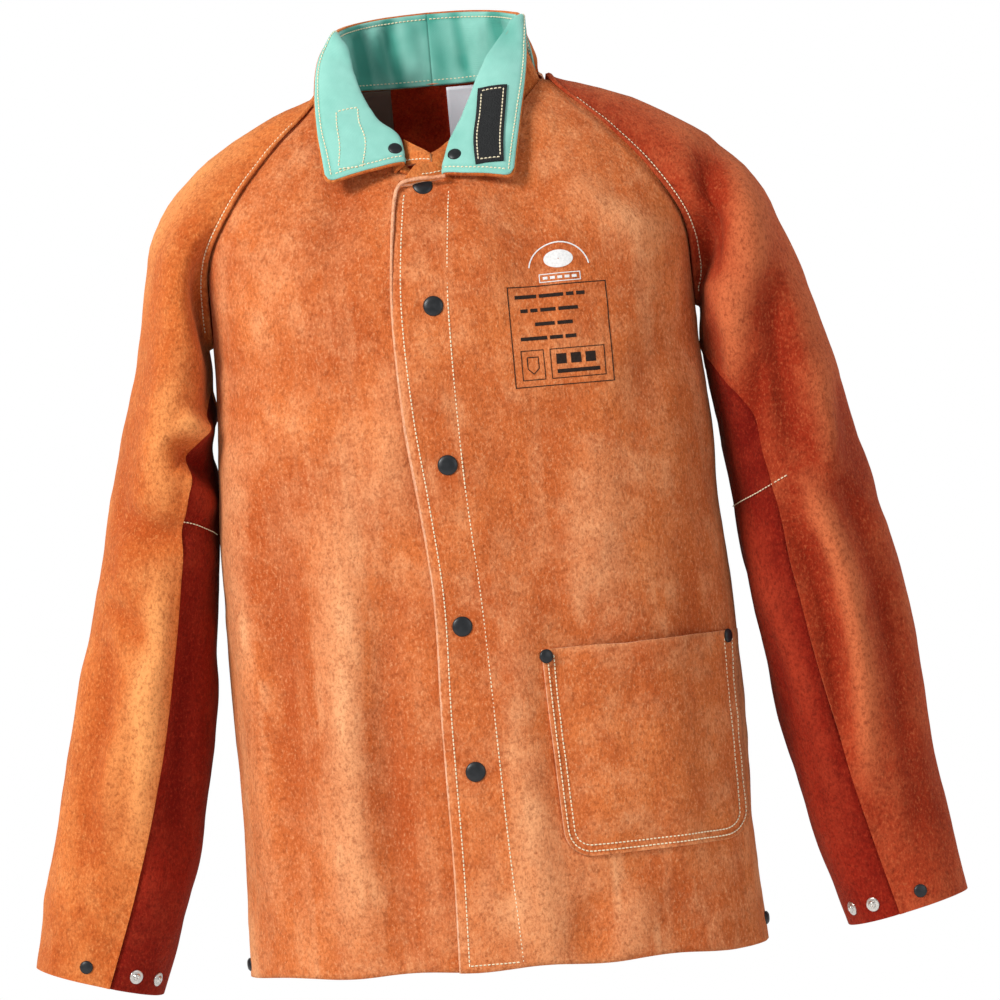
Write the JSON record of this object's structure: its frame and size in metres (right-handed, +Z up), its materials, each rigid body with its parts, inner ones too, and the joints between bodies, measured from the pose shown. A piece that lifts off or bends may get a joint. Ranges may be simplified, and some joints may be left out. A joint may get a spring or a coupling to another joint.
{
  "type": "leather welding jacket",
  "caption": "Split-leather welding jacket with raglan sleeves, a snapped over-lapping front, one large patch pocket and a fold-open collar with hook and loop closure.",
  "frame": {"origin": "middle of the neck opening at the height of the back neck seam, where a neck form or hanger carries the jacket", "axes": "+Z up, +X towards the wearer's left, +Y towards the wearer's back"},
  "size_m": [0.841, 0.2972, 0.8614],
  "materials": {
    "split_leather": "napped suede split cowhide, rust orange",
    "dark_leather": "napped split cowhide, deeper red brown",
    "mint_lining": "plain woven cotton, light mint green",
    "satin_lining": "satin, grey brown",
    "white_tape": "woven tape, white",
    "hook_tape": "hook and loop tape, black",
    "black_snap": "black enamelled brass, satin gloss",
    "steel_snap": "nickel plated"
  },
  "bodies": {
    "torso": {"back_panel": "split_leather", "back_yoke_lining": "satin_lining", "size_tab": "white_tape", "left_front_side": "split_leather", "right_front_side": "split_leather", "left_sleeve_head": "split_leather", "right_sleeve_head": "split_leather", "left_shoulder_gusset": "split_leather", "right_shoulder_gusset": "split_leather", "collar_stand_leather": "split_leather", "collar_stand_lining": "mint_lining", "left_hem_snap": "black_snap", "right_hem_snap": "black_snap", "pocket_rivet_outer": "black_snap"},
    "left_front": {"left_front_panel": "split_leather", "left_front_fold": "split_leather", "placket_band": "split_leather", "chest_pocket": "split_leather", "pocket_rivet_inner": "black_snap", "front_snap_cap_1": "black_snap", "front_snap_cap_2": "black_snap", "front_snap_cap_3": "black_snap", "front_snap_cap_4": "black_snap", "front_snap_cap_5": "black_snap"},
    "right_front": {"right_front_panel": "split_leather", "right_front_fold": "split_leather", "front_snap_stud_1": "steel_snap", "front_snap_stud_2": "steel_snap", "front_snap_stud_3": "steel_snap", "front_snap_stud_4": "steel_snap", "front_snap_stud_5": "steel_snap"},
    "left_upper_sleeve": {"left_upper_top_sleeve": "split_leather", "left_upper_under_sleeve": "dark_leather", "left_elbow_gusset": "split_leather"},
    "left_forearm": {"left_lower_top_sleeve": "split_leather", "left_lower_under_sleeve": "dark_leather", "left_cuff_facing": "dark_leather", "left_cuff_cap": "black_snap", "left_cuff_stud_1": "steel_snap", "left_cuff_stud_2": "steel_snap"},
    "left_collar_tip": {"left_collar_leather": "split_leather", "left_collar_lining": "mint_lining", "hook_patch": "hook_tape", "left_collar_snap": "black_snap"},
    "right_upper_sleeve": {"right_upper_top_sleeve": "split_leather", "right_upper_under_sleeve": "dark_leather", "right_elbow_gusset": "split_leather"},
    "right_forearm": {"right_lower_top_sleeve": "split_leather", "right_lower_under_sleeve": "dark_leather", "right_cuff_facing": "dark_leather", "right_cuff_cap": "black_snap", "right_cuff_stud_1": "steel_snap", "right_cuff_stud_2": "steel_snap"},
    "right_collar_tip": {"right_collar_leather": "split_leather", "right_collar_lining": "mint_lining", "loop_patch": "hook_tape", "right_collar_snap": "black_snap"}
  },
  "joints": [
    {"name": "left_front_open", "type": "hinge", "parent": "torso", "child": "left_front", "pos_m": [0.172, -0.119, -0.797], "axis": [-0.2057, -0.0028, 0.9786], "range_deg": [0, 55], "deforming": ["left_front_fold", "chest_pocket"]},
    {"name": "right_front_open", "type": "hinge", "parent": "torso", "child": "right_front", "pos_m": [-0.172, -0.116, -0.797], "axis": [-0.1824, 0.0014, -0.9832], "range_deg": [0, 27.5], "deforming": ["right_front_fold"]},
    {"name": "left_shoulder_lift", "type": "hinge", "parent": "torso", "child": "left_upper_sleeve", "pos_m": [0.26482, 0, -0.22771], "axis": [0, -1, 0], "range_deg": [0, 50], "deforming": ["left_shoulder_gusset"]},
    {"name": "left_elbow_bend", "type": "hinge", "parent": "left_upper_sleeve", "child": "left_forearm", "pos_m": [0.30131, 0, -0.4102], "axis": [-0.9781, 0, -0.2082], "range_deg": [0, 62], "deforming": ["left_elbow_gusset"]},
    {"name": "right_shoulder_lift", "type": "hinge", "parent": "torso", "child": "right_upper_sleeve", "pos_m": [-0.24938, 0, -0.22754], "axis": [0, 1, 0], "range_deg": [0, 50], "deforming": ["right_shoulder_gusset"]},
    {"name": "right_elbow_bend", "type": "hinge", "parent": "right_upper_sleeve", "child": "right_forearm", "pos_m": [-0.28411, 0, -0.41127], "axis": [-0.9616, 0, 0.2744], "range_deg": [0, 62], "deforming": ["right_elbow_gusset"]},
    {"name": "left_collar_close", "type": "hinge", "parent": "torso", "child": "left_collar_tip", "pos_m": [0.003, -0.11904, -0.08992], "axis": [-0.3481, -0.5081, -0.7878], "range_deg": [0, 95]},
    {"name": "right_collar_close", "type": "hinge", "parent": "torso", "child": "right_collar_tip", "pos_m": [-0.031, -0.11065, -0.07692], "axis": [-0.3651, 0.5046, 0.7823], "range_deg": [0, 95]}
  ],
  "couplings": [
    {"joint": "right_front_open", "follows": "left_front_open", "ratio": 0.5}
  ]
}
